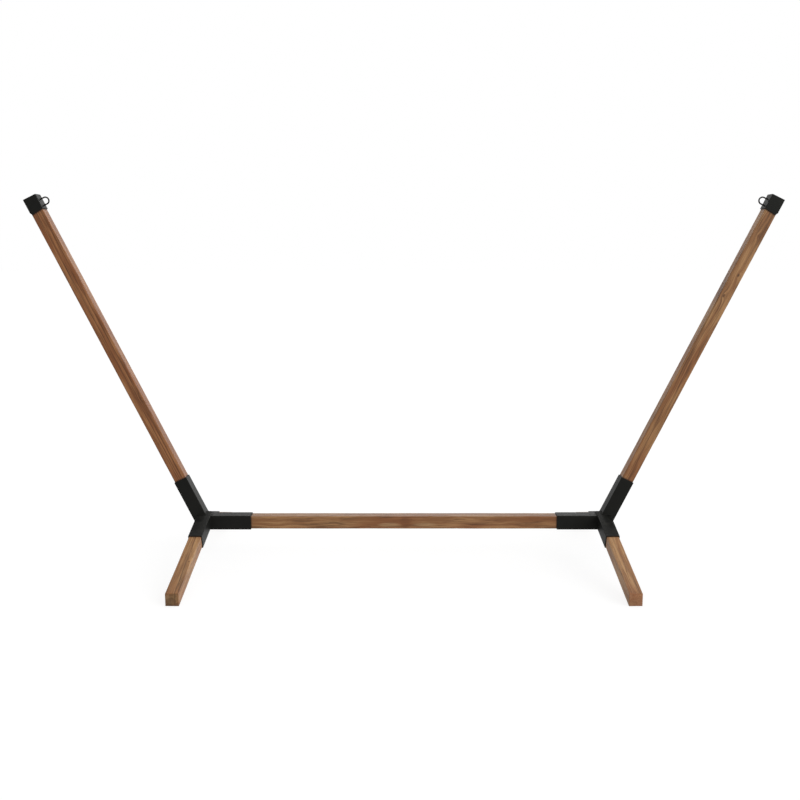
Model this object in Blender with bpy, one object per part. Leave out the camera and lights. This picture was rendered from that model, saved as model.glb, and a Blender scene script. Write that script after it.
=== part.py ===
"""Timber hammock stand: a raised centre bar, two outward-leaning arms and four
splayed legs, held by two welded steel socket brackets. Each arm ends in a steel
cap with a bent-rod loop that a hammock clips to. Metres, +Z up, +X along the
bar, +Y to the rear; the origin is on the floor under the middle of the bar."""
import math

import bmesh
import bpy
from mathutils import Matrix, Vector

# Timber sections
BAR_SIDE = 0.055            # centre bar, square
TIMBER_SIDE = 0.0518        # arms and legs, square
ARRIS = 0.003               # rounding along the timber's long edges
END_CHAMFER = 0.0015        # chamfer round the timber's sawn ends

# Layout
HUB_X = 0.873               # where the arm and bar axes cross, out from the centre
LEG_X = 0.867               # where the leg axes cross, out from the centre
BAR_HEIGHT = 0.170          # bar axis above the floor
LEG_RISE = 0.0138           # leg axes cross this far above the bar axis
ARM_LEAN = math.radians(25.8)
LEG_SLOPE = math.radians(15.85)
LEG_SPLAY = math.radians(1.55)
FOOT_REACH = 0.567          # plumb-cut leg ends, out from where the leg axes cross
ARM_TOP = 1.538             # outer face of the end cap, along the arm axis

# Socket brackets
WALL = 0.003                # steel plate
GAP = 0.0003                # fitting gap between touching pieces
TUBE_ROUND = 0.0025         # rounding of a socket's outer edges
POCKET_ROUND = 0.001        # rounding of a socket's inner edges
BAR_REACH = 0.208           # hub to the mouth of the bar socket
ARM_REACH = 0.2095
LEG_REACH = 0.190
ARM_SEAT = 0.055            # hub to the lower end of the arm
LEG_SEAT = 0.010            # hub to the inner end of a leg

# End caps and hammock loops
CAP_LENGTH = 0.0675         # on the arm's axis
CAP_SLANT = 0.006           # the cap is this much longer on its outer side
CAP_CHAMFER = 0.0007
CLIP_ALONG = 0.0115         # clipped lower outer corner of the cap
CLIP_ACROSS = 0.0065
ROD = 0.006
LOOP_RADIUS = 0.0142        # to the middle of the rod
LOOP_STANDOFF = 0.0160      # loop centre above the cap's inner face
LOOP_FROM_TOP = 0.0372      # loop centre below the cap's outer face
ROD_TAIL = 0.0085           # rod beyond the cap's outer face
WASHER_RADIUS = 0.006
WASHER_THICK = 0.0012
NUT_FLATS = 0.010
NUT_HEIGHT = 0.005
NUT_CORNER = 1.06           # corners of the nut's chamfered ends, over half its flats

# Coach screws, all alike
SCREW_RADIUS = 0.0035
SCREW_LENGTH = 0.034        # under the flange
SCREW_POINT = 0.005
FLANGE_RADIUS = 0.0085
FLANGE_THICK = 0.0014
HEAD_FLATS = 0.013
HEAD_HEIGHT = 0.0052
HEAD_CHAMFER = 0.0007
HEAD_CORNER = 1.04          # corners of the head's chamfered top, over half its flats
SCREWS_PER_SOCKET = 2
FIRST_SCREW = 0.035         # socket mouth to the first screw
SCREW_PITCH = 0.080

ROUND_STEPS = 24            # points round a screw, nut or rod hole
ROD_STEPS = 16
BEND_STEPS = 16
CORNER_STEPS = 3
SHARP_ANGLE = math.radians(35)
GROUND_REACH = 3.0          # block under the floor that levels the feet
GROUND_DEPTH = 0.1

TUBE_SIDE = TIMBER_SIDE + 2 * (GAP + WALL)
BAR_TUBE_SIDE = BAR_SIDE + 2 * (GAP + WALL)
HOLE_RADIUS = SCREW_RADIUS + GAP
SIDES = {"left": -1, "right": 1}
ENDS = {"front": -1, "rear": 1}

WOOD = ((0.27, 0.125, 0.058), 0.62, 0.0)
BLACK_STEEL = ((0.016, 0.016, 0.015), 0.5, 0.6)
DARK_ZINC = ((0.09, 0.09, 0.09), 0.35, 1.0)


def clear_scene():
    for item in list(bpy.data.objects):
        bpy.data.objects.remove(item, do_unlink=True)


def rounded_square(side, radius):
    """Outline of a square with round corners, anticlockwise, in the XY plane."""
    inset = side / 2 - radius
    points = []
    for quarter in range(4):
        for step in range(CORNER_STEPS + 1):
            turn = math.radians(90) * (quarter + step / CORNER_STEPS)
            cx = inset if quarter in (0, 3) else -inset
            cy = inset if quarter in (0, 1) else -inset
            points.append((cx + radius * math.cos(turn), cy + radius * math.sin(turn)))
    return points


def circle(radius, steps=ROUND_STEPS):
    turns = [math.tau * step / steps for step in range(steps)]
    return [(radius * math.cos(turn), radius * math.sin(turn)) for turn in turns]


def hexagon(flats, limit=math.inf):
    """Hexagon outline with ROUND_STEPS points, its corners held inside a circle."""
    points = []
    for step in range(ROUND_STEPS):
        turn = math.tau * step / ROUND_STEPS
        from_flat = (turn + math.radians(30)) % math.radians(60) - math.radians(30)
        reach = min(flats / 2 / math.cos(from_flat), limit)
        points.append((reach * math.cos(turn), reach * math.sin(turn)))
    return points


def level(outline, z, slope=0.0):
    """Lift an outline to height z; a slope tilts it about its own X axis."""
    return [Vector((x, y, z + slope * y)) for x, y in outline]


def loft(name, rings, finish, place=None, ring_shaped=False):
    """Skin a stack of outlines into one closed body."""
    mesh = bpy.data.meshes.new(name)
    shape = bmesh.new()
    rows = [[shape.verts.new(point) for point in ring] for ring in rings]
    pairs = list(zip(rows, rows[1:]))
    if ring_shaped:
        pairs.append((rows[-1], rows[0]))
    else:
        shape.faces.new(list(reversed(rows[0])))
        shape.faces.new(rows[-1])
    for low, high in pairs:
        for here in range(len(low)):
            there = (here + 1) % len(low)
            shape.faces.new((low[here], low[there], high[there], high[here]))
    bmesh.ops.recalc_face_normals(shape, faces=shape.faces)
    shape.to_mesh(mesh)
    shape.free()
    mesh.materials.append(finish)
    mesh.shade_smooth()
    mesh.set_sharp_from_angle(angle=SHARP_ANGLE)
    piece = bpy.data.objects.new(name, mesh)
    piece.matrix_world = place or Matrix()
    bpy.context.scene.collection.objects.link(piece)
    return piece


def finish_of(name, recipe):
    colour, roughness, metallic = recipe
    surface = bpy.data.materials.new(name)
    surface.use_nodes = True
    shader = surface.node_tree.nodes["Principled BSDF"]
    shader.inputs["Base Color"].default_value = (*colour, 1.0)
    shader.inputs["Roughness"].default_value = roughness
    shader.inputs["Metallic"].default_value = metallic
    return surface


def cutter(name, rings, place=None):
    """A guide body that only takes material away or adds it to another piece."""
    guide = loft(name, rings, finish_of(name, BLACK_STEEL), place)
    guide.hide_render = True
    guide.display_type = "WIRE"
    return guide


def combine(piece, guides, operation):
    for guide in guides:
        step = piece.modifiers.new(operation.lower() + "_" + guide.name, "BOOLEAN")
        step.operation = operation
        step.solver = "EXACT"
        step.object = guide


def arm_frame(side):
    """Local Z runs up the arm; local X stays on the world's +X side."""
    hub = Vector((side * HUB_X, 0, BAR_HEIGHT))
    return Matrix.Translation(hub) @ Matrix.Rotation(side * ARM_LEAN, 4, "Y")


def leg_frame(side, end):
    """Local Z runs down the leg to its foot; local X is level, towards the world's +X."""
    crossing = Vector((side * LEG_X, 0, BAR_HEIGHT + LEG_RISE))
    splay = Matrix.Rotation(-side * end * LEG_SPLAY, 4, "Z")
    slope = Matrix.Rotation(-end * (math.radians(90) + LEG_SLOPE), 4, "X")
    return Matrix.Translation(crossing) @ splay @ slope


def bar_frame():
    """Local Z runs along the world's +X."""
    middle = Vector((0, 0, BAR_HEIGHT))
    return Matrix.Translation(middle) @ Matrix.Rotation(math.radians(90), 4, "Y")


def facing(point, direction):
    """Frame at a point with its local Z along a direction."""
    turn = direction.to_track_quat("Z", "Y").to_matrix().to_4x4()
    return Matrix.Translation(point) @ turn


def timber_rings(side, low, high, high_slope=0.0):
    full = rounded_square(side, ARRIS)
    small = rounded_square(side - 2 * END_CHAMFER, ARRIS)
    return [
        level(small, low),
        level(full, low + END_CHAMFER),
        level(full, high - END_CHAMFER, high_slope),
        level(small, high, high_slope),
    ]


def pocket_rings(side, low, high):
    outline = rounded_square(side + 2 * GAP, POCKET_ROUND)
    return [level(outline, low), level(outline, high)]


def screw_seats(side):
    """Every screw at one bracket: name, point on the socket wall, way in."""
    seats = []
    for count in range(SCREWS_PER_SOCKET):
        along = FIRST_SCREW + count * SCREW_PITCH
        mouth = side * (HUB_X - BAR_REACH + along)
        face = BAR_TUBE_SIDE / 2
        seats.append(("bar", count, Vector((mouth, face, BAR_HEIGHT)), Vector((0, -1, 0))))
        on_arm = arm_frame(side) @ Vector((0, TUBE_SIDE / 2, ARM_REACH - along))
        seats.append(("arm", count, on_arm, Vector((0, -1, 0))))
        for end_name, end in ENDS.items():
            leg = leg_frame(side, end)
            at = leg @ Vector((side * TUBE_SIDE / 2, 0, LEG_REACH - along))
            inward = leg.to_3x3() @ Vector((-side, 0, 0))
            seats.append(("leg_" + end_name, count, at, inward))
    return seats


def screw_bores(side_name, member):
    """Clearance bores for the screws of one socket, through wall and timber."""
    bores = []
    depth = SCREW_LENGTH + 2 * GAP
    clear = WALL
    for socket, count, point, inward in screw_seats(SIDES[side_name]):
        if socket != member:
            continue
        rings = [level(circle(HOLE_RADIUS), -clear), level(circle(HOLE_RADIUS), depth)]
        name = f"bore_{side_name}_{member}_{count}"
        bores.append(cutter(name, rings, facing(point, inward)))
    return bores


def rod_offsets():
    """The two straight legs of a loop, along the arm, from the cap's outer face."""
    centre = ARM_TOP - LOOP_FROM_TOP
    return {"lower": centre - LOOP_RADIUS, "upper": centre + LOOP_RADIUS}


def rod_bores(side_name):
    bores = []
    side = SIDES[side_name]
    outline = circle(ROD / 2 + GAP)
    for place_name, along in rod_offsets().items():
        point = arm_frame(side) @ Vector((-side * TUBE_SIDE, 0, along))
        outward = arm_frame(side).to_3x3() @ Vector((side, 0, 0))
        rings = [level(outline, 0), level(outline, 2 * TUBE_SIDE)]
        bores.append(cutter(f"rod_bore_{side_name}_{place_name}", rings, facing(point, outward)))
    return bores


def make_bar(wood, bores):
    half = LEG_X - TUBE_SIDE / 2 - WALL
    bar = loft("centre_bar", timber_rings(BAR_SIDE, -half, half), wood, bar_frame())
    combine(bar, bores, "DIFFERENCE")


def make_arm(side_name, wood, bores):
    top = ARM_TOP - WALL - GAP
    rings = timber_rings(TIMBER_SIDE, ARM_SEAT, top)
    arm = loft("arm_" + side_name, rings, wood, arm_frame(SIDES[side_name]))
    combine(arm, bores, "DIFFERENCE")


def make_leg(side_name, end_name, wood, bores, ground):
    """The outer end is cut plumb, and its lower edge is cut level with the floor."""
    end = ENDS[end_name]
    plumb = end * math.tan(LEG_SLOPE)
    length = FOOT_REACH / math.cos(LEG_SLOPE)
    rings = timber_rings(TIMBER_SIDE, LEG_SEAT, length, plumb)
    name = f"leg_{end_name}_{side_name}"
    leg = loft(name, rings, wood, leg_frame(SIDES[side_name], end))
    combine(leg, [*bores, ground], "DIFFERENCE")


def leg_tube_rings(side):
    """Both leg sockets as one V-shaped tube, mitred under the arm."""
    outline = rounded_square(TUBE_SIDE, TUBE_ROUND)
    front = leg_frame(side, ENDS["front"])
    down = front.to_3x3() @ Vector((0, 0, 1))
    mouth = [front @ Vector((x, y, LEG_REACH)) for x, y in outline]
    starts = [front @ Vector((x, y, 0)) for x, y in outline]
    mitre = [start - down * (start.y / down.y) for start in starts]
    rear_mouth = [Vector((point.x, -point.y, point.z)) for point in mouth]
    return [mouth, mitre, rear_mouth]


def make_bracket(side_name, steel, bores):
    side = SIDES[side_name]
    tube = rounded_square(TUBE_SIDE, TUBE_ROUND)
    bar_tube = rounded_square(BAR_TUBE_SIDE, TUBE_ROUND)
    bar_ends = sorted((side * (HUB_X - BAR_REACH), side * HUB_X))
    bar_seat = side * (LEG_X - TUBE_SIDE / 2 - WALL + GAP)
    bar_pocket = sorted((side * (HUB_X - BAR_REACH - WALL), bar_seat))
    past = WALL

    name = "bracket_" + side_name
    bracket = loft(name, leg_tube_rings(side), steel)
    tubes = [
        cutter("bar_tube_" + side_name, [level(bar_tube, z) for z in bar_ends], bar_frame()),
        cutter("arm_tube_" + side_name, [level(tube, 0), level(tube, ARM_REACH)], arm_frame(side)),
    ]
    combine(bracket, tubes, "UNION")

    arm_pocket = pocket_rings(TIMBER_SIDE, ARM_SEAT - GAP, ARM_REACH + past)
    pockets = [
        cutter("bar_pocket_" + side_name, pocket_rings(BAR_SIDE, *bar_pocket), bar_frame()),
        cutter("arm_pocket_" + side_name, arm_pocket, arm_frame(side)),
    ]
    for end_name, end in ENDS.items():
        rings = pocket_rings(TIMBER_SIDE, LEG_SEAT - GAP, LEG_REACH + past)
        guide = f"leg_pocket_{end_name}_{side_name}"
        pockets.append(cutter(guide, rings, leg_frame(side, end)))
    combine(bracket, [*pockets, *bores], "DIFFERENCE")


def cap_clip_rings(side, mouth):
    """Wedge that takes off the corner between the cap's outer face and its mouth."""
    outer = side * TUBE_SIDE / 2
    on_face = Vector((outer, 0, mouth + CLIP_ALONG))
    on_mouth = Vector((outer - side * CLIP_ACROSS, 0, mouth))
    run = on_face - on_mouth
    beyond = Vector((outer + side * CLIP_ALONG, 0, mouth - CLIP_ALONG))
    profile = (on_face + run, beyond, on_mouth - run)
    return [[point + Vector((0, y, 0)) for point in profile] for y in (-TUBE_SIDE, TUBE_SIDE)]


def make_cap(side_name, steel, bores):
    side = SIDES[side_name]
    low = ARM_TOP - CAP_LENGTH
    slant = side * CAP_SLANT / TUBE_SIDE
    tube = rounded_square(TUBE_SIDE, TUBE_ROUND)
    small = rounded_square(TUBE_SIDE - 2 * CAP_CHAMFER, TUBE_ROUND)
    mouth = [Vector((x, y, low - slant * x)) for x, y in tube]
    rings = [mouth, level(tube, ARM_TOP - CAP_CHAMFER), level(small, ARM_TOP)]
    cap = loft("end_cap_" + side_name, rings, steel, arm_frame(side))
    pocket = pocket_rings(TIMBER_SIDE, low - CAP_SLANT, ARM_TOP - WALL)
    hollow = cutter("cap_pocket_" + side_name, pocket, arm_frame(side))
    corner = cap_clip_rings(side, low - CAP_SLANT / 2)
    clip = cutter("cap_clip_" + side_name, corner, arm_frame(side))
    combine(cap, [hollow, clip, *bores], "DIFFERENCE")


def make_loop(side_name, steel):
    """A rod bent to a U, both ends running through the cap and the arm."""
    side = SIDES[side_name]
    eye = TUBE_SIDE / 2 + LOOP_STANDOFF
    tail = -(TUBE_SIDE / 2 + ROD_TAIL)
    outline = circle(ROD / 2, ROD_STEPS)
    centre = ARM_TOP - LOOP_FROM_TOP

    def station(inward, along, heading):
        """Rod section at a place in the loop's plane, square to its heading."""
        across = Vector((-math.sin(heading), 0, math.cos(heading)))
        at = Vector((inward, 0, along))
        return [at + x * across + Vector((0, y, 0)) for x, y in outline]

    rings = [station(tail, -LOOP_RADIUS, 0)]
    for step in range(BEND_STEPS + 1):
        turn = math.pi * step / BEND_STEPS
        inward = eye + LOOP_RADIUS * math.sin(turn)
        rings.append(station(inward, -LOOP_RADIUS * math.cos(turn), turn))
    rings.append(station(tail, LOOP_RADIUS, math.pi))
    to_inside = Matrix.Rotation(math.pi if side > 0 else 0, 4, "Z")
    place = arm_frame(side) @ Matrix.Translation((0, 0, centre)) @ to_inside
    loft("hammock_loop_" + side_name, rings, steel, place)


def make_loop_fixings(side_name, zinc):
    """A washer and a nut on each rod end, on the cap's outer face."""
    side = SIDES[side_name]
    outward = arm_frame(side).to_3x3() @ Vector((side, 0, 0))
    hole = circle(ROD / 2 + GAP)
    washer = circle(WASHER_RADIUS)
    corner_limit = NUT_FLATS / 2 * NUT_CORNER
    for place_name, along in rod_offsets().items():
        face = arm_frame(side) @ Vector((side * (TUBE_SIDE / 2 + GAP), 0, along))
        name = f"{place_name}_{side_name}"
        rings = [
            level(hole, 0),
            level(washer, 0),
            level(washer, WASHER_THICK),
            level(hole, WASHER_THICK),
        ]
        loft("loop_washer_" + name, rings, zinc, facing(face, outward), ring_shaped=True)
        low = WASHER_THICK + GAP
        high = low + NUT_HEIGHT
        rings = [
            level(hole, low),
            level(hexagon(NUT_FLATS, corner_limit), low),
            level(hexagon(NUT_FLATS), low + HEAD_CHAMFER),
            level(hexagon(NUT_FLATS), high - HEAD_CHAMFER),
            level(hexagon(NUT_FLATS, corner_limit), high),
            level(hole, high),
        ]
        loft("loop_nut_" + name, rings, zinc, facing(face, outward), ring_shaped=True)


def make_screws(side_name, zinc):
    """Flanged hexagon coach screws, heads outside the sockets."""
    top = -GAP - FLANGE_THICK
    corner_limit = HEAD_FLATS / 2 * HEAD_CORNER
    rings = [
        level(hexagon(HEAD_FLATS, corner_limit), top - HEAD_HEIGHT),
        level(hexagon(HEAD_FLATS), top - HEAD_HEIGHT + HEAD_CHAMFER),
        level(hexagon(HEAD_FLATS), top),
        level(circle(FLANGE_RADIUS), top),
        level(circle(FLANGE_RADIUS), -GAP),
        level(circle(SCREW_RADIUS), -GAP),
        level(circle(SCREW_RADIUS), SCREW_LENGTH - SCREW_POINT),
        level(circle(SCREW_RADIUS / 4), SCREW_LENGTH),
    ]
    for socket, count, point, inward in screw_seats(SIDES[side_name]):
        name = f"screw_{socket}_{side_name}_{count + 1}"
        loft(name, rings, zinc, facing(point, inward))


def make_stand():
    clear_scene()
    below = [(GROUND_REACH * x, GROUND_REACH * y) for x, y in ((1, 1), (-1, 1), (-1, -1), (1, -1))]
    ground = cutter("ground", [level(below, -GROUND_DEPTH), level(below, 0)])
    bar_bores = []
    for side_name in SIDES:
        bores = {}
        for member in ("bar", "arm", "leg_front", "leg_rear"):
            bores[member] = screw_bores(side_name, member)
        rods = rod_bores(side_name)
        bar_bores += bores["bar"]
        make_arm(side_name, finish_of("wood_arm_" + side_name, WOOD), bores["arm"] + rods)
        for end_name in ENDS:
            wood = finish_of(f"wood_leg_{end_name}_{side_name}", WOOD)
            make_leg(side_name, end_name, wood, bores["leg_" + end_name], ground)
        every_bore = [bore for group in bores.values() for bore in group]
        make_bracket(side_name, finish_of("steel_bracket_" + side_name, BLACK_STEEL), every_bore)
        make_cap(side_name, finish_of("steel_cap_" + side_name, BLACK_STEEL), rods)
        make_loop(side_name, finish_of("steel_loop_" + side_name, BLACK_STEEL))
        zinc = finish_of("fixings_" + side_name, DARK_ZINC)
        make_loop_fixings(side_name, zinc)
        make_screws(side_name, zinc)
    make_bar(finish_of("wood_bar", WOOD), bar_bores)


make_stand()
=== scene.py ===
"""Looks of the timber hammock stand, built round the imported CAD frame.

Timbers get fine meshes with eased, slightly worn arrises and a solid wood grain;
steel parts keep their CAD shape with rounded plate edges, weld beads and powder
coat; the loops are re-made as smooth bent rod with threaded tails."""
import math
import random

import bmesh
import bpy
from mathutils import Matrix, Vector, noise


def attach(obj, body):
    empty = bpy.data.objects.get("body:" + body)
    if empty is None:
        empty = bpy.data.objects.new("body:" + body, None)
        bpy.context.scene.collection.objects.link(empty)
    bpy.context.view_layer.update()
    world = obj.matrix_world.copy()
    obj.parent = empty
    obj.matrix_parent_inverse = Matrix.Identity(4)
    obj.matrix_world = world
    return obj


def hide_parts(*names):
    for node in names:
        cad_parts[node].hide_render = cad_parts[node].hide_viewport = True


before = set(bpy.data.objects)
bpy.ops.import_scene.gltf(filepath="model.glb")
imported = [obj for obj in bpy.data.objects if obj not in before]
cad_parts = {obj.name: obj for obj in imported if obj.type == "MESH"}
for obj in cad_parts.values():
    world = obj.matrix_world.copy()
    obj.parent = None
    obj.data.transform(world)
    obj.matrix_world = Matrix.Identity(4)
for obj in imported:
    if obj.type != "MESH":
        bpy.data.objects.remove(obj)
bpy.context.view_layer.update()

BODY = "root"
SIDES = {"left": -1, "right": 1}
ENDS = {"front": -1, "rear": 1}

# Driving dimensions, the same as the CAD's, in metres
BAR_SIDE = 0.055
TIMBER_SIDE = 0.0518
HUB_X = 0.873
LEG_X = 0.867
BAR_HEIGHT = 0.170
LEG_RISE = 0.0138
ARM_LEAN = math.radians(25.8)
LEG_SLOPE = math.radians(15.85)
LEG_SPLAY = math.radians(1.55)
FOOT_REACH = 0.567
ARM_TOP = 1.538
WALL = 0.003
GAP = 0.0003
BAR_REACH = 0.208
ARM_REACH = 0.2095
LEG_REACH = 0.190
ARM_SEAT = 0.055
LEG_SEAT = 0.010
CAP_LENGTH = 0.0675
CAP_SLANT = 0.006
ROD = 0.006
LOOP_RADIUS = 0.0142
LOOP_STANDOFF = 0.0160
LOOP_FROM_TOP = 0.0372
ROD_TAIL = 0.0085
TUBE_SIDE = TIMBER_SIDE + 2 * (GAP + WALL)

# Camera
CAMERA_AT = Vector((0.0, -3.986, 1.333))
CAMERA_PITCH = math.radians(8.96)
CAMERA_LENS = 42.4
CAMERA_SHIFT = -0.0049


# ---------------------------------------------------------------- frames

def arm_frame(side):
    """Local Z runs up the arm; local X stays on the world's +X side."""
    hub = Vector((side * HUB_X, 0, BAR_HEIGHT))
    return Matrix.Translation(hub) @ Matrix.Rotation(side * ARM_LEAN, 4, "Y")


def leg_frame(side, end):
    """Local Z runs down the leg to its foot; local X is level, towards the world's +X."""
    crossing = Vector((side * LEG_X, 0, BAR_HEIGHT + LEG_RISE))
    splay = Matrix.Rotation(-side * end * LEG_SPLAY, 4, "Z")
    slope = Matrix.Rotation(-end * (math.radians(90) + LEG_SLOPE), 4, "X")
    return Matrix.Translation(crossing) @ splay @ slope


def bar_frame():
    """Local Z runs along the world's +X."""
    middle = Vector((0, 0, BAR_HEIGHT))
    return Matrix.Translation(middle) @ Matrix.Rotation(math.radians(90), 4, "Y")


# ---------------------------------------------------------------- shader helpers

class Nodes:
    """Short calls that add nodes to one material."""

    def __init__(self, name):
        self.material = bpy.data.materials.new(name)
        self.material.use_nodes = True
        self.tree = self.material.node_tree
        self.shader = self.tree.nodes["Principled BSDF"]

    def add(self, kind, **settings):
        node = self.tree.nodes.new(kind)
        for key, value in settings.items():
            setattr(node, key, value)
        return node

    def feed(self, socket, value):
        if isinstance(value, bpy.types.NodeSocket):
            self.tree.links.new(value, socket)
        else:
            socket.default_value = value

    def math(self, operation, a, b=0.0):
        node = self.add("ShaderNodeMath", operation=operation)
        self.feed(node.inputs[0], a)
        self.feed(node.inputs[1], b)
        return node.outputs[0]

    def vector(self, operation, a, b):
        node = self.add("ShaderNodeVectorMath", operation=operation)
        self.feed(node.inputs[0], a)
        self.feed(node.inputs[1], b)
        return node.outputs[0]

    def noise(self, at, scale, detail=2.0, rough=0.5):
        node = self.add("ShaderNodeTexNoise")
        self.feed(node.inputs["Vector"], at)
        node.inputs["Scale"].default_value = scale
        node.inputs["Detail"].default_value = detail
        node.inputs["Roughness"].default_value = rough
        return node.outputs["Fac"]

    def spread(self, value, low, high, out_low=0.0, out_high=1.0):
        """Map a range to another, clamped."""
        node = self.add("ShaderNodeMapRange", interpolation_type="SMOOTHSTEP")
        self.feed(node.inputs["Value"], value)
        node.inputs["From Min"].default_value = low
        node.inputs["From Max"].default_value = high
        node.inputs["To Min"].default_value = out_low
        node.inputs["To Max"].default_value = out_high
        return node.outputs["Result"]

    def colour_mix(self, share, a, b, blend="MIX"):
        node = self.add("ShaderNodeMix", data_type="RGBA", blend_type=blend)
        self.feed(node.inputs[0], share)
        for socket, value in ((node.inputs[6], a), (node.inputs[7], b)):
            plain = isinstance(value, tuple)
            self.feed(socket, (*value, 1.0) if plain else value)
        return node.outputs[2]

    def bump(self, height, depth, below=None):
        """Bump of a 0-1 height field, depth in metres."""
        node = self.add("ShaderNodeBump")
        node.inputs["Strength"].default_value = 1.0
        node.inputs["Distance"].default_value = depth
        self.feed(node.inputs["Height"], height)
        if below is not None:
            self.feed(node.inputs["Normal"], below)
        return node.outputs["Normal"]


# ---------------------------------------------------------------- materials

# Oiled hardwood
LIGHT_WOOD = (0.360, 0.187, 0.079)
MID_WOOD = (0.243, 0.108, 0.041)
RED_WOOD = (0.222, 0.077, 0.026)
DARK_WOOD = (0.068, 0.029, 0.012)
PORE_BROWN = (0.055, 0.022, 0.010)
KNOT_DARK = (0.045, 0.018, 0.009)
KNOT_BROWN = (0.150, 0.060, 0.024)
# near-black brown of the painted shade at the socket mouths and feet
SHADE_DARK = (0.022, 0.009, 0.005)
RUBBED_WOOD = (0.50, 0.33, 0.20)
CUT_BROWN = (0.075, 0.040, 0.016)
CUT_RED = (0.270, 0.098, 0.045)
RED_STAIN = (0.190, 0.070, 0.025)
PALE_STAIN = (0.400, 0.240, 0.118)
PITH_ACROSS = 0.021        # the growth rings' centre, from the timber's axis
PITH_BELOW = 0.047
PITH_DRIFT = 0.012         # how fast the pith drifts down along the timber
RING_WIDTH = 0.0052
FIBRE_DEPTH = 0.00006      # relief of fibres and pores
STREAK_DEPTH = 0.00012

# Powder coat and zinc
COAT_DEEP = (0.0040, 0.0042, 0.0037)
COAT_PALE = (0.0066, 0.0068, 0.0060)
COAT_GRIT = (0.016, 0.016, 0.0145)
# pale grey of the dust and painted top sheen on upward faces
DUST_AND_SHEEN = (0.10, 0.096, 0.084)
BARE_PRIMER = (0.075, 0.072, 0.068)
COAT_TINT = (1.0, 1.0, 0.93, 1.0)
PEEL_DEPTH = 0.00012       # relief of the orange peel
BEAD_LUMPS = 0.00035       # relief of lumps under the coat on a weld bead
ZINC_DARK = (0.045, 0.045, 0.047)
ZINC_PALE = (0.105, 0.104, 0.102)
ZINC_RUBBED = (0.34, 0.33, 0.32)
ZINC_DEPTH = 0.000006


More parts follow.
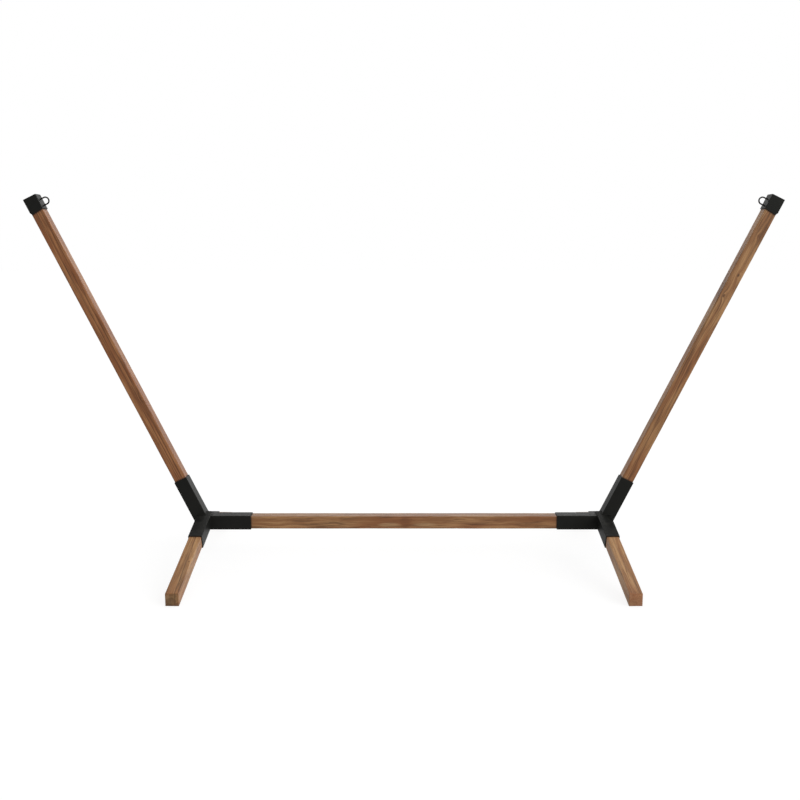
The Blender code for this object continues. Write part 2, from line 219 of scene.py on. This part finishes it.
def wood(name, tint, knots=(), lines=(), patches=(), waves=2.4, sway=0.020, cut_end=CUT_BROWN):
    """Oiled hardwood as a solid: growth rings about a pith outside the section,
    long colour streaks, pores and flecks. The grain attribute holds metres across,
    up and along the timber; a further attribute holds painted shade, 1 at the dark
    shadow line at each socket mouth and at the contact shadow by the feet.

    knots are (across, along, radius); lines are dark streaks (across, drift);
    patches are (across, along, half width, half length, colour, share); cut_end is
    the colour that the end grain leans to."""
    n = Nodes(name)
    grain = n.add("ShaderNodeAttribute", attribute_name="grain").outputs["Vector"]
    split = n.add("ShaderNodeSeparateXYZ")
    n.feed(split.inputs[0], grain)
    across, up, along = split.outputs
    own = random.Random(name)
    cut = n.vector("ADD", grain, tuple(own.uniform(-2.0, 2.0) for _ in range(3)))

    # The fibres wander slowly, and swell round each knot
    wander = n.noise(n.vector("MULTIPLY", cut, (9.0, 9.0, waves)), 1.0, 2.0)
    shift = n.math("MULTIPLY", n.math("SUBTRACT", wander, 0.5), sway)
    knot_dark = 0.0
    for k_across, k_along, radius in knots:
        dx = n.math("SUBTRACT", across, k_across)
        dz = n.math("MULTIPLY", n.math("SUBTRACT", along, k_along), 0.55)
        square = n.math("ADD", n.math("MULTIPLY", dx, dx), n.math("MULTIPLY", dz, dz))
        away = n.math("DIVIDE", n.math("SQRT", square), radius)
        swell = n.math("EXPONENT", n.math("MULTIPLY", n.math("MULTIPLY", away, away), -0.22))
        shift = n.math("ADD", shift, n.math("MULTIPLY", swell, radius * 1.8))
        heart = n.spread(away, 1.25, 0.35)
        knot_dark = n.math("MAXIMUM", knot_dark, heart)
    sideways = n.add("ShaderNodeCombineXYZ")
    n.feed(sideways.inputs[0], shift)
    fibres = n.vector("ADD", cut, sideways.outputs[0])

    def stretched(wide, long):
        return n.vector("MULTIPLY", fibres, (wide, wide, long))

    # Growth rings
    pith_x = n.math("ADD", n.math("SUBTRACT", across, PITH_ACROSS), shift)
    pith_y = n.math("ADD", n.math("ADD", up, PITH_BELOW), n.math("MULTIPLY", along, PITH_DRIFT))
    square = n.math("ADD", n.math("MULTIPLY", pith_x, pith_x), n.math("MULTIPLY", pith_y, pith_y))
    uneven = n.math("MULTIPLY", n.noise(stretched(40.0, 3.0), 1.0, 2.0), 0.006)
    turns = n.math("DIVIDE", n.math("ADD", n.math("SQRT", square), uneven), RING_WIDTH)
    ring = n.math("FRACT", turns)
    late = n.math("MULTIPLY", n.spread(ring, 0.55, 0.97), n.spread(ring, 1.0, 0.985))

    # Long streaks at three widths
    patch = n.noise(stretched(11.0, 3.4), 1.0, 2.0, 0.5)
    broad = n.noise(stretched(62.0, 4.6), 1.0, 3.0, 0.55)
    fine = n.noise(stretched(185.0, 7.0), 1.0, 4.0, 0.6)
    fibre = n.noise(stretched(900.0, 22.0), 1.0, 2.0, 0.6)

    colour = n.colour_mix(n.spread(broad, 0.40, 0.62), MID_WOOD, LIGHT_WOOD)
    colour = n.colour_mix(n.math("MULTIPLY", n.spread(patch, 0.45, 0.7), 0.65), colour, RED_WOOD)
    for p_across, p_along, half_width, half_length, stain, share in patches:
        dx = n.math("DIVIDE", n.math("SUBTRACT", across, p_across), half_width)
        dz = n.math("DIVIDE", n.math("SUBTRACT", along, p_along), half_length)
        square = n.math("ADD", n.math("MULTIPLY", dx, dx), n.math("MULTIPLY", dz, dz))
        ragged = n.math("ADD", square, n.math("MULTIPLY", n.math("SUBTRACT", broad, 0.5), 3.0))
        colour = n.colour_mix(n.spread(ragged, 1.3, 0.1, 0.0, share), colour, stain)
    colour = n.colour_mix(n.math("MULTIPLY", n.spread(fine, 0.50, 0.66), 0.62), colour, DARK_WOOD)
    colour = n.colour_mix(n.math("MULTIPLY", late, 0.34), colour, DARK_WOOD)
    colour = n.colour_mix(n.math("MULTIPLY", n.spread(fibre, 0.5, 0.8), 0.25), colour, DARK_WOOD)

    # Open pores: short dark dashes along the grain
    pores = n.spread(n.noise(stretched(1300.0, 60.0), 1.0, 1.0, 0.4), 0.66, 0.74)
    colour = n.colour_mix(n.math("MULTIPLY", pores, 0.55), colour, PORE_BROWN)
    if knots:
        whorl = n.spread(n.math("SINE", n.math("MULTIPLY", turns, 9.0)), -0.6, 0.9)
        heartwood = n.colour_mix(whorl, KNOT_DARK, KNOT_BROWN)
        colour = n.colour_mix(n.math("MULTIPLY", knot_dark, 0.8), colour, heartwood)
    for offset, drift in lines:
        line = n.math("SUBTRACT", across, n.math("MULTIPLY", along, drift))
        line = n.math("ADD", line, n.math("MULTIPLY", shift, 0.25))
        near = n.math("ABSOLUTE", n.math("SUBTRACT", line, offset))
        uneven_line = n.math("MULTIPLY", n.spread(broad, 0.34, 0.50), 0.62)
        strength = n.math("MULTIPLY", n.spread(near, 0.0032, 0.0005), uneven_line)
        colour = n.colour_mix(strength, colour, DARK_WOOD)

    # End grain drinks more oil; painted shade darkens the wood at the socket mouths and the feet
    ends = n.add("ShaderNodeAttribute", attribute_name="end_grain").outputs["Fac"]
    drunk = n.math("MULTIPLY", ends, n.spread(patch, 0.62, 0.40, 0.35, 0.72))
    colour = n.colour_mix(drunk, colour, cut_end)
    painted_shade = n.add("ShaderNodeAttribute", attribute_name="painted_shade").outputs["Fac"]
    colour = n.colour_mix(n.math("MULTIPLY", painted_shade, 0.90), colour, SHADE_DARK)
    worn = n.add("ShaderNodeAttribute", attribute_name="arris").outputs["Fac"]
    rubbed = n.math("MULTIPLY", worn, n.spread(n.noise(stretched(60.0, 14.0), 1.0), 0.4, 0.7))
    colour = n.colour_mix(n.math("MULTIPLY", rubbed, 0.18), colour, RUBBED_WOOD)
    colour = n.colour_mix(1.0, colour, tint, "MULTIPLY")
    n.feed(n.shader.inputs["Base Color"], colour)

    sheen = n.math("ADD", n.math("MULTIPLY", late, -0.06), n.math("MULTIPLY", pores, 0.20))
    broken = n.math("MULTIPLY", n.math("SUBTRACT", fine, 0.5), 0.25)
    n.feed(n.shader.inputs["Roughness"], n.math("ADD", n.math("ADD", sheen, broken), 0.50))
    n.shader.inputs["Specular IOR Level"].default_value = 0.34

    height = n.math("SUBTRACT", n.math("MULTIPLY", fibre, 0.5), n.math("MULTIPLY", pores, 1.0))
    height = n.math("ADD", height, n.math("MULTIPLY", late, 0.35))
    normal = n.bump(height, FIBRE_DEPTH)
    n.feed(n.shader.inputs["Normal"], n.bump(fine, STREAK_DEPTH, normal))
    return n.material


def powder_coat(name, roughness, bead=False):
    """Matte black powder coat: fine orange peel, a pale mix on upward faces that is partly dust and
    partly painted top sheen, rubbed edges.
    """
    n = Nodes(name)
    place = n.add("ShaderNodeTexCoord").outputs["Object"]
    peel = n.noise(place, 900.0, 2.0, 0.55)
    grit = n.noise(place, 3200.0, 1.0, 0.5)
    cloud = n.noise(place, 14.0, 3.0, 0.6)
    colour = n.colour_mix(n.spread(cloud, 0.3, 0.75), COAT_DEEP, COAT_PALE)
    colour = n.colour_mix(n.math("MULTIPLY", n.spread(grit, 0.62, 0.8), 0.4), colour, COAT_GRIT)

    # Upward faces get a pale mix that is partly dust and partly painted sheen of the top light
    facing_up = n.add("ShaderNodeSeparateXYZ")
    n.feed(facing_up.inputs[0], n.add("ShaderNodeNewGeometry").outputs["Normal"])
    upward_share = n.spread(facing_up.outputs["Z"], 0.35, 0.95)
    dust_and_sheen = n.math("MULTIPLY", upward_share, n.spread(n.noise(place, 55.0, 4.0, 0.65), 0.42, 0.75))
    colour = n.colour_mix(n.math("MULTIPLY", dust_and_sheen, 0.16), colour, DUST_AND_SHEEN)

    edge = n.add("ShaderNodeAttribute", attribute_name="edge").outputs["Fac"]
    chips = n.spread(n.noise(place, 240.0, 3.0, 0.7), 0.60, 0.70)
    rubbed = n.math("MULTIPLY", edge, chips)
    colour = n.colour_mix(n.math("MULTIPLY", rubbed, 0.5), colour, BARE_PRIMER)
    n.feed(n.shader.inputs["Base Color"], colour)

    uneven = n.math("MULTIPLY", n.math("SUBTRACT", cloud, 0.5), 0.16)
    level = n.math("ADD", n.math("MULTIPLY", dust_and_sheen, 0.15), roughness)
    n.feed(n.shader.inputs["Roughness"], n.math("ADD", level, uneven))
    n.shader.inputs["Specular IOR Level"].default_value = 0.20
    n.shader.inputs["Specular Tint"].default_value = COAT_TINT
    under = n.bump(n.noise(place, 420.0, 2.0), BEAD_LUMPS) if bead else None
    n.feed(n.shader.inputs["Normal"], n.bump(peel, PEEL_DEPTH, under))
    return n.material


def zinc_plate(name):
    """Black zinc on the fixings, rubbed brighter where a spanner has turned them."""
    n = Nodes(name)
    place = n.add("ShaderNodeTexCoord").outputs["Object"]
    cloud = n.noise(place, 160.0, 3.0, 0.6)
    grain = n.noise(place, 900.0, 2.0)
    colour = n.colour_mix(n.spread(cloud, 0.35, 0.7), ZINC_DARK, ZINC_PALE)
    edge = n.add("ShaderNodeAttribute", attribute_name="edge").outputs["Fac"]
    rubbed = n.math("MULTIPLY", edge, n.spread(n.noise(place, 350.0, 2.0), 0.40, 0.65))
    colour = n.colour_mix(n.math("MULTIPLY", rubbed, 0.6), colour, ZINC_RUBBED)
    n.feed(n.shader.inputs["Base Color"], colour)
    n.shader.inputs["Metallic"].default_value = 1.0
    n.feed(n.shader.inputs["Roughness"], n.spread(cloud, 0.3, 0.8, 0.30, 0.52))
    n.feed(n.shader.inputs["Normal"], n.bump(grain, ZINC_DEPTH))
    return n.material


# ---------------------------------------------------------------- mesh helpers

def show(name, mesh, finish, slot_name, *nodes):
    """Put a finished mesh on the stand in place of its CAD nodes."""
    mesh.materials.clear()
    mesh.materials.append(finish)
    piece = bpy.data.objects.new(name, mesh)
    bpy.context.scene.collection.objects.link(piece)
    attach(piece, BODY)
    if nodes:
        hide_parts(*nodes)
    return piece


def skin(name, rings):
    """Closed mesh through a stack of rings with equal point counts."""
    shape = bmesh.new()
    rows = [[shape.verts.new(point) for point in ring] for ring in rings]
    shape.faces.new(list(reversed(rows[0])))
    shape.faces.new(rows[-1])
    for low, high in zip(rows, rows[1:]):
        for here in range(len(low)):
            there = (here + 1) % len(low)
            shape.faces.new((low[here], low[there], high[there], high[here]))
    bmesh.ops.recalc_face_normals(shape, faces=shape.faces)
    mesh = bpy.data.meshes.new(name)
    shape.to_mesh(mesh)
    shape.free()
    mesh.shade_smooth()
    mesh.set_sharp_from_angle(angle=math.radians(40))
    return mesh


def point_values(mesh, name, values):
    layer = mesh.attributes.new(name, "FLOAT", "POINT")
    layer.data.foreach_set("value", values)


# ---------------------------------------------------------------- timbers

FACE_STEPS = 8
ARRIS_STEPS = 6
ARRIS = 0.003
STATION = 0.011
END_ROUND = 0.0015
MOUTH_STEP = 0.0012        # spacing of stations round a socket mouth
DENTS = 7
DENT_LENGTH = 0.006
# width of the painted shadow line at each socket mouth
SHADE_LINE_WIDTH = 0.0042
CORNERS = ((1, 1), (-1, 1), (-1, -1), (1, -1))


def square_outline(side, radius):
    """Square outline with round corners: (x, y, share of arris) anticlockwise."""
    inset = side / 2 - radius
    points = []
    for quarter, (sx, sy) in enumerate(CORNERS):
        for step in range(ARRIS_STEPS + 1):
            turn = math.radians(90) * (quarter + step / ARRIS_STEPS)
            middle = 1 - abs(2 * step / ARRIS_STEPS - 1)
            x = sx * inset + radius * math.cos(turn)
            y = sy * inset + radius * math.sin(turn)
            points.append((x, y, middle))
        nx, ny = CORNERS[(quarter + 1) % 4]
        start = Vector(points[-1][:2])
        turn = math.radians(90) * (quarter + 1)
        finish = Vector((nx * inset, ny * inset)) + radius * Vector((math.cos(turn), math.sin(turn)))
        for step in range(1, FACE_STEPS):
            x, y = start.lerp(finish, step / FACE_STEPS)
            points.append((x, y, 0.0))
    return points


def stations(low, high, mouths):
    """Places along a timber, closer together at its ends and at socket mouths."""
    places = {low, high}
    for depth in (0.2, 0.55, 1.0, 2.2):
        places |= {low + depth * END_ROUND, high - depth * END_ROUND}
    for mouth, _ in mouths:
        places |= {mouth + step * MOUTH_STEP for step in range(-6, 10)}
    count = int((high - low) / STATION)
    spaced = [low + (high - low) * step / count for step in range(1, count)]
    for place in spaced:
        if all(abs(place - other) > STATION / 4 for other in places):
            places.add(place)
    return sorted(place for place in places if low <= place <= high)


def end_inset(depth):
    """How far a rounded end draws the outline in, at a depth behind the cut."""
    if depth >= END_ROUND:
        return 0.0
    lift = 1 - depth / END_ROUND
    return END_ROUND * (1 - math.sqrt(max(0.0, 1 - lift * lift)))


def make_timber(node, place, side, low, high, slot_name, look, mouths, slope=0.0, floor=False):
    """One timber, eased and a little uneven; slope tilts the far end's cut."""
    seed = random.Random(node)
    origin = Vector([seed.uniform(-40, 40) for _ in range(3)])
    dents = [
        (seed.uniform(low, high), seed.randrange(4), seed.uniform(0.0003, 0.0009))
        for _ in range(DENTS)
    ]
    rings, grain, ends, painted_shade, arris = [], [], [], [], []
    for at in stations(low, high, mouths):
        inset = end_inset(min(at - low, high - at))
        eased = ARRIS * (1 + 0.35 * noise.noise(origin + Vector((0, 0, at * 9))))
        far = max(0.0, min(1.0, (at - high + 0.04) / 0.04)) if slope else 0.0
        ring = []
        for x, y, corner in square_outline(side - 2 * inset, eased):
            wave = 0.00012 * noise.noise(origin + Vector((x * 45, y * 45, at * 14)))
            for dent_at, dent_corner, depth in dents:
                sx, sy = CORNERS[dent_corner]
                if corner and x * sx > 0 and y * sy > 0:
                    wave -= depth * corner * math.exp(-(((at - dent_at) / DENT_LENGTH) ** 2))
            scale = 1 + wave / (side / 2)
            local = Vector((x * scale, y * scale, at + far * slope * y))
            world = place @ local
            if floor and world.z < 0:
                world.z = 0.0
            ring.append(world)
            grain += list(local)
            ends.append(1.0 if min(at - low, high - at) < END_ROUND * 0.3 else 0.0)
            # Painted shade: a dark shadow line at each socket mouth and, on the legs, a contact shadow
            # by the floor
            near = min(abs(at - mouth + slant * x) for mouth, slant in mouths)
            floor_shade = math.exp(-max(0.0, world.z) / 0.004) * 0.35 if floor else 0.0
            painted_shade.append(min(1.0, math.exp(-((near / SHADE_LINE_WIDTH) ** 2)) + floor_shade))
            arris.append(corner)
        rings.append(ring)
    mesh = skin(node + "_timber", rings)
    layer = mesh.attributes.new("grain", "FLOAT_VECTOR", "POINT")
    layer.data.foreach_set("vector", grain)
    point_values(mesh, "end_grain", ends)
    point_values(mesh, "painted_shade", painted_shade)
    point_values(mesh, "arris", arris)
    show(node + "_timber", mesh, look, slot_name, node)


ARM_LOOKS = {
    "left": dict(
        tint=(0.96, 0.82, 0.74), knots=((0.016, 0.60, 0.004),),
        lines=((0.011, 0.003), (0.002, -0.004)), waves=1.8,
    ),
    "right": dict(
        tint=(1.16, 1.18, 1.16), lines=((0.0074, -0.030),), waves=3.2, sway=0.026,
        knots=((0.0026, 1.362, 0.004), (0.006, 1.185, 0.005), (-0.009, 1.085, 0.005)),
    ),
}
LEG_LOOKS = {
    "front_left": dict(tint=(1.20, 1.26, 1.26), knots=((0.017, 0.37, 0.004),), lines=((0.001, 0.018),)),
    "front_right": dict(tint=(1.32, 1.42, 1.48), cut_end=CUT_RED, waves=3.4),
    "rear_left": dict(tint=(1.16, 1.18, 1.18)),
    "rear_right": dict(tint=(1.10, 1.12, 1.12), knots=((-0.011, 0.42, 0.004),)),
}


def make_timbers():
    bar_end = LEG_X - TUBE_SIDE / 2 - WALL
    bar_mouth = HUB_X - BAR_REACH
    patches = (
        (0.000, 0.006, 0.036, 0.022, RED_STAIN, 0.72),
        (0.010, -0.062, 0.010, 0.050, PALE_STAIN, 0.70),
        (0.010, 0.095, 0.009, 0.055, PALE_STAIN, 0.70),
    )
    bar_look = wood("bar_wood", (1.02, 1.02, 1.02), patches=patches, waves=6.0, sway=0.030)
    make_timber(
        "centre_bar", bar_frame(), BAR_SIDE, -bar_end, bar_end, "bar_wood", bar_look,
        ((-bar_mouth, 0), (bar_mouth, 0)),
    )
    for side_name, side in SIDES.items():
        arm_look = wood("arm_wood_" + side_name, **ARM_LOOKS[side_name])
        cap_mouth = (ARM_TOP - CAP_LENGTH, side * CAP_SLANT / TUBE_SIDE)
        make_timber(
            "arm_" + side_name, arm_frame(side), TIMBER_SIDE, ARM_SEAT, ARM_TOP - WALL - GAP,
            "arm_wood", arm_look, ((ARM_REACH, 0), cap_mouth),
        )
        for end_name, end in ENDS.items():
            place_name = f"{end_name}_{side_name}"
            leg_look = wood("leg_wood_" + place_name, **LEG_LOOKS[place_name])
            make_timber(
                "leg_" + place_name, leg_frame(side, end), TIMBER_SIDE, LEG_SEAT,
                FOOT_REACH / math.cos(LEG_SLOPE), "leg_wood", leg_look, ((LEG_REACH, 0),),
                slope=end * math.tan(LEG_SLOPE), floor=True,
            )


# ---------------------------------------------------------------- steel

def cleaned(node):
    """A CAD node's mesh welded up, with its flat faces whole again."""
    shape = bmesh.new()
    shape.from_mesh(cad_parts[node].data)
    bmesh.ops.remove_doubles(shape, verts=shape.verts, dist=0.000002)
    bmesh.ops.dissolve_limit(
        shape, angle_limit=math.radians(0.6), verts=shape.verts, edges=shape.edges
    )
    return shape


PLATE_ROUND = 0.0007
FIXING_ROUND = 0.00025
BORDER_BEND = math.radians(23)     # least outward bend that shows wear
FULL_BEND = math.radians(30)       # bend with full wear
FLAT_WEIGHT = 100                  # how far large faces set the normals
SHARP_BEND = math.radians(38)
MITRE_BEND = math.radians(12)      # the leg tubes' mitre is sharp all along its line
MITRE_REACH = 0.00001              # the mitre lies in the stand's middle plane


def rounded_copy(node, width, slot_name, finish, segments=3, sharper_than=50.0, mitred=False):
    """A steel piece in its CAD shape, with its plate edges rounded over."""
    shape = cleaned(node)
    limit = math.radians(sharper_than)
    edges = [e for e in shape.edges if len(e.link_faces) == 2 and e.calc_face_angle() > limit]
    bmesh.ops.bevel(
        shape, geom=edges, offset=width, segments=segments, profile=0.5,
        affect="EDGES", clamp_overlap=True,
    )
    for face in shape.faces:
        face.smooth = True
    for edge in shape.edges:
        on_mitre = mitred and all(abs(vert.co.y) < MITRE_REACH for vert in edge.verts)
        edge.smooth = edge.calc_face_angle(math.pi) < (MITRE_BEND if on_mitre else SHARP_BEND)
    mesh = bpy.data.meshes.new(node + "_steel")
    shape.to_mesh(mesh)
    shape.free()
    mark_edges(mesh)
    piece = show(node + "_steel", mesh, finish, slot_name, node)
    # Large faces keep their own normals, so that rounded edges don't shade them
    flat = piece.modifiers.new("flat_faces", "WEIGHTED_NORMAL")
    flat.keep_sharp = True
    flat.weight = FLAT_WEIGHT


def mark_edges(mesh):
    """Write 1 on points where the surface turns sharply outwards, for wear; the
    border of a flat face, where it only begins to turn, stays 0."""
    shape = bmesh.new()
    shape.from_mesh(mesh)
    values = []
    for vert in shape.verts:
        bends = [e.calc_face_angle_signed(0.0) for e in vert.link_edges if len(e.link_faces) == 2]
        past = max(bends, default=0.0) - BORDER_BEND
        values.append(max(0.0, min(1.0, past / (FULL_BEND - BORDER_BEND))))
    shape.free()
    point_values(mesh, "edge", values)


SHORTEST_SEAM = 0.006


def length_of(chain):
    return sum((there - here).length for here, there in zip(chain, chain[1:]))


def seams(node, side):
    """Chains of points along the outer inside corners, where tubes are welded."""
    shape = cleaned(node)
    bar_low, bar_high = sorted((side * (HUB_X - BAR_REACH), side * HUB_X))
    tubes = [
        (bar_frame().inverted(), BAR_SIDE, bar_low, bar_high),
        (arm_frame(side).inverted(), TIMBER_SIDE, 0, ARM_REACH),
        (leg_frame(side, -1).inverted(), TIMBER_SIDE, 0, LEG_REACH),
        (leg_frame(side, 1).inverted(), TIMBER_SIDE, 0, LEG_REACH),
    ]

    def in_pocket(point):
        for to_local, width, low, high in tubes:
            local = to_local @ point
            close = max(abs(local.x), abs(local.y)) < width / 2 + GAP + WALL / 2
            if close and low <= local.z <= high:
                return True
        return False

    links = {}
    for edge in shape.edges:
        if len(edge.link_faces) != 2 or edge.calc_face_angle_signed() > math.radians(-8):
            continue
        a, b = edge.verts
        if in_pocket((a.co + b.co) / 2):
            continue
        for here, there in ((a, b), (b, a)):
            links.setdefault(here, []).append(there)
    chains = []
    while links:
        start = next((v for v in links if len(links[v]) == 1), next(iter(links)))
        chain = [start]
        while links.get(chain[-1]):
            here = chain[-1]
            there = links[here].pop()
            links[there].remove(here)
            chain.append(there)
        links = {v: others for v, others in links.items() if others}
        chains.append([v.co.copy() for v in chain])
    shape.free()
    return [chain for chain in chains if length_of(chain) > SHORTEST_SEAM]


BEAD_RADIUS = 0.0017
BEAD_STEP = 0.0006
BEAD_RIPPLE = 0.0024
BEAD_SIDES = 10


def spaced_points(chain, spacing):
    """Points at even spacing along a chain of straight runs."""
    points = [chain[0]]
    for start, finish in zip(chain, chain[1:]):
        count = max(1, round((finish - start).length / spacing))
        points += [start.lerp(finish, step / count) for step in range(1, count + 1)]
    return points


def make_bead(name, chain, finish, centre):
    """A rippled weld bead along a seam, proud of the inside corner."""
    points = spaced_points(chain, BEAD_STEP)
    rings = []
    for count, point in enumerate(points):
        before, after = points[max(0, count - 2)], points[min(len(points) - 1, count + 2)]
        heading = (after - before).normalized()
        outward = (point - centre).normalized()
        side = heading.cross(outward).normalized()
        lift = side.cross(heading)
        travelled = count * BEAD_STEP
        ripple = 1 - 0.16 * ((travelled / BEAD_RIPPLE) % 1)
        lumps = 0.14 * noise.noise(point * 190)
        from_end = min(count, len(points) - 1 - count) * BEAD_STEP
        taper = math.sqrt(min(1.0, (from_end + BEAD_STEP / 3) / BEAD_RADIUS))
        radius = BEAD_RADIUS * taper * (ripple + lumps)
        ring = []
        for step in range(BEAD_SIDES):
            turn = math.tau * step / BEAD_SIDES
            ring.append(point + radius * (math.cos(turn) * side + math.sin(turn) * lift))
        rings.append(ring)
    mesh = skin(name, rings)
    point_values(mesh, "edge", [0.0] * len(mesh.vertices))
    show(name, mesh, finish, "black_steel")


def make_beads(side_name, side, finish):
    centre = Vector((side * HUB_X, 0, BAR_HEIGHT))
    for count, chain in enumerate(seams("bracket_" + side_name, side)):
        make_bead(f"weld_{side_name}_{count + 1}", chain, finish, centre)


# ---------------------------------------------------------------- loops and fixings

ROD_SIDES = 24
BEND_STEPS = 40
THREAD_PITCH = 0.001
THREAD_DEPTH = 0.0003
THREAD_LENGTH = 0.0105
THREAD_STEPS = 6
ROD_CHAMFER = 0.0005


def rod_ring(inward, along, heading, travelled=None, less=0.0):
    """Rod section square to its heading; travelled gives a place on the thread."""
    across = Vector((-math.sin(heading), 0, math.cos(heading)))
    ring = []
    for step in range(ROD_SIDES):
        turn = math.tau * step / ROD_SIDES
        radius = ROD / 2 - less
        if travelled is not None:
            phase = (travelled / THREAD_PITCH + step / ROD_SIDES) % 1
            radius -= THREAD_DEPTH * abs(2 * phase - 1)
        out = math.cos(turn) * across + Vector((0, math.sin(turn), 0))
        ring.append(Vector((inward, 0, along)) + radius * out)
    return ring


def make_loop(side_name, side, finish):
    """A smooth rod bent to a U, threaded where its tails carry the nuts."""
    eye = TUBE_SIDE / 2 + LOOP_STANDOFF
    tail = -(TUBE_SIDE / 2 + ROD_TAIL)
    count = round(THREAD_LENGTH / THREAD_PITCH * THREAD_STEPS)
    places = [THREAD_LENGTH * step / count for step in range(count + 1)]
    rings = [rod_ring(tail, -LOOP_RADIUS, 0, 0.0, ROD_CHAMFER)]
    rings += [rod_ring(tail + at, -LOOP_RADIUS, 0, at) for at in places[1:]]
    rings.append(rod_ring(tail + THREAD_LENGTH + ROD_CHAMFER, -LOOP_RADIUS, 0))
    for step in range(BEND_STEPS + 1):
        turn = math.pi * step / BEND_STEPS
        inward = eye + LOOP_RADIUS * math.sin(turn)
        rings.append(rod_ring(inward, -LOOP_RADIUS * math.cos(turn), turn))
    rings.append(rod_ring(tail + THREAD_LENGTH + ROD_CHAMFER, LOOP_RADIUS, math.pi))
    rings += [rod_ring(tail + at, LOOP_RADIUS, math.pi, at) for at in reversed(places[1:])]
    rings.append(rod_ring(tail, LOOP_RADIUS, math.pi, 0.0, ROD_CHAMFER))
    to_inside = Matrix.Rotation(math.pi if side > 0 else 0, 4, "Z")
    middle = Matrix.Translation((0, 0, ARM_TOP - LOOP_FROM_TOP))
    place = arm_frame(side) @ middle @ to_inside
    rings = [[place @ point for point in ring] for ring in rings]
    name = "hammock_loop_" + side_name
    mesh = skin(name + "_rod", rings)
    mark_edges(mesh)
    show(name + "_rod", mesh, finish, "loop_steel", name)


make_timbers()
steel = powder_coat("black_powder_coat", 0.52)
rod_steel = powder_coat("black_rod_coat", 0.40)
weld_steel = powder_coat("black_weld_coat", 0.50, bead=True)
zinc = zinc_plate("black_zinc")
for side_name, side in SIDES.items():
    rounded_copy("bracket_" + side_name, PLATE_ROUND, "black_steel", steel, mitred=True)
    rounded_copy("end_cap_" + side_name, PLATE_ROUND, "black_steel", steel)
    make_beads(side_name, side, weld_steel)
    make_loop(side_name, side, rod_steel)
for node in sorted(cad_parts):
    if node.startswith(("loop_nut", "loop_washer", "screw")):
        rounded_copy(node, FIXING_ROUND, "fixings", zinc, segments=2, sharper_than=25.0)


# ---------------------------------------------------------------- stage

def make_stage():
    bpy.ops.mesh.primitive_plane_add(size=120.0, location=(0, 0, -0.0005))
    floor = bpy.context.object
    floor.name = "floor"
    pale = Nodes("pale_floor")
    pale.shader.inputs["Base Color"].default_value = (0.20, 0.20, 0.20, 1.0)
    pale.shader.inputs["Emission Color"].default_value = (1.0, 1.0, 1.0, 1.0)
    pale.shader.inputs["Emission Strength"].default_value = 0.84
    pale.shader.inputs["Roughness"].default_value = 0.9
    pale.shader.inputs["Specular IOR Level"].default_value = 0.0
    floor.data.materials.append(pale.material)
    floor.visible_glossy = False
    floor.visible_diffuse = False


def sun(name, towards, strength, softness):
    light = bpy.data.lights.new(name, "SUN")
    light.energy = strength
    light.angle = math.radians(softness)
    lamp = bpy.data.objects.new(name, light)
    lamp.rotation_mode = "QUATERNION"
    lamp.rotation_quaternion = Vector(towards).to_track_quat("-Z", "Y")
    bpy.context.scene.collection.objects.link(lamp)


def make_light():
    world = bpy.data.worlds.new("studio")
    bpy.context.scene.world = world
    world.use_nodes = True
    tree = world.node_tree
    background = tree.nodes["Background"]
    seen = tree.nodes.new("ShaderNodeLightPath")
    level = tree.nodes.new("ShaderNodeMapRange")
    tree.links.new(seen.outputs["Is Camera Ray"], level.inputs["Value"])
    level.inputs["To Min"].default_value = 0.52
    level.inputs["To Max"].default_value = 1.0
    background.inputs["Color"].default_value = (1.0, 1.0, 1.0, 1.0)
    tree.links.new(level.outputs["Result"], background.inputs["Strength"])
    sun("key", (-0.75, 0.60, -0.35), 1.50, 45)
    sun("overhead", (-0.55, 0.10, -0.83), 0.36, 70)
    sun("right", (-0.90, 0.20, -0.40), 0.28, 70)
    sun("back_right", (-0.45, -0.85, -0.25), 0.98, 70)
    sun("back_left", (0.45, -0.85, -0.25), 0.42, 70)


def make_camera():
    data = bpy.data.cameras.new("camera")
    data.lens = CAMERA_LENS
    data.sensor_width = 36.0
    camera = bpy.data.objects.new("camera", data)
    camera.location = CAMERA_AT
    data.shift_x = CAMERA_SHIFT
    camera.rotation_euler = (math.radians(90) - CAMERA_PITCH, 0, 0)
    bpy.context.scene.collection.objects.link(camera)
    bpy.context.scene.camera = camera


make_stage()
make_light()
make_camera()
bpy.context.scene.view_settings.view_transform = "Standard"
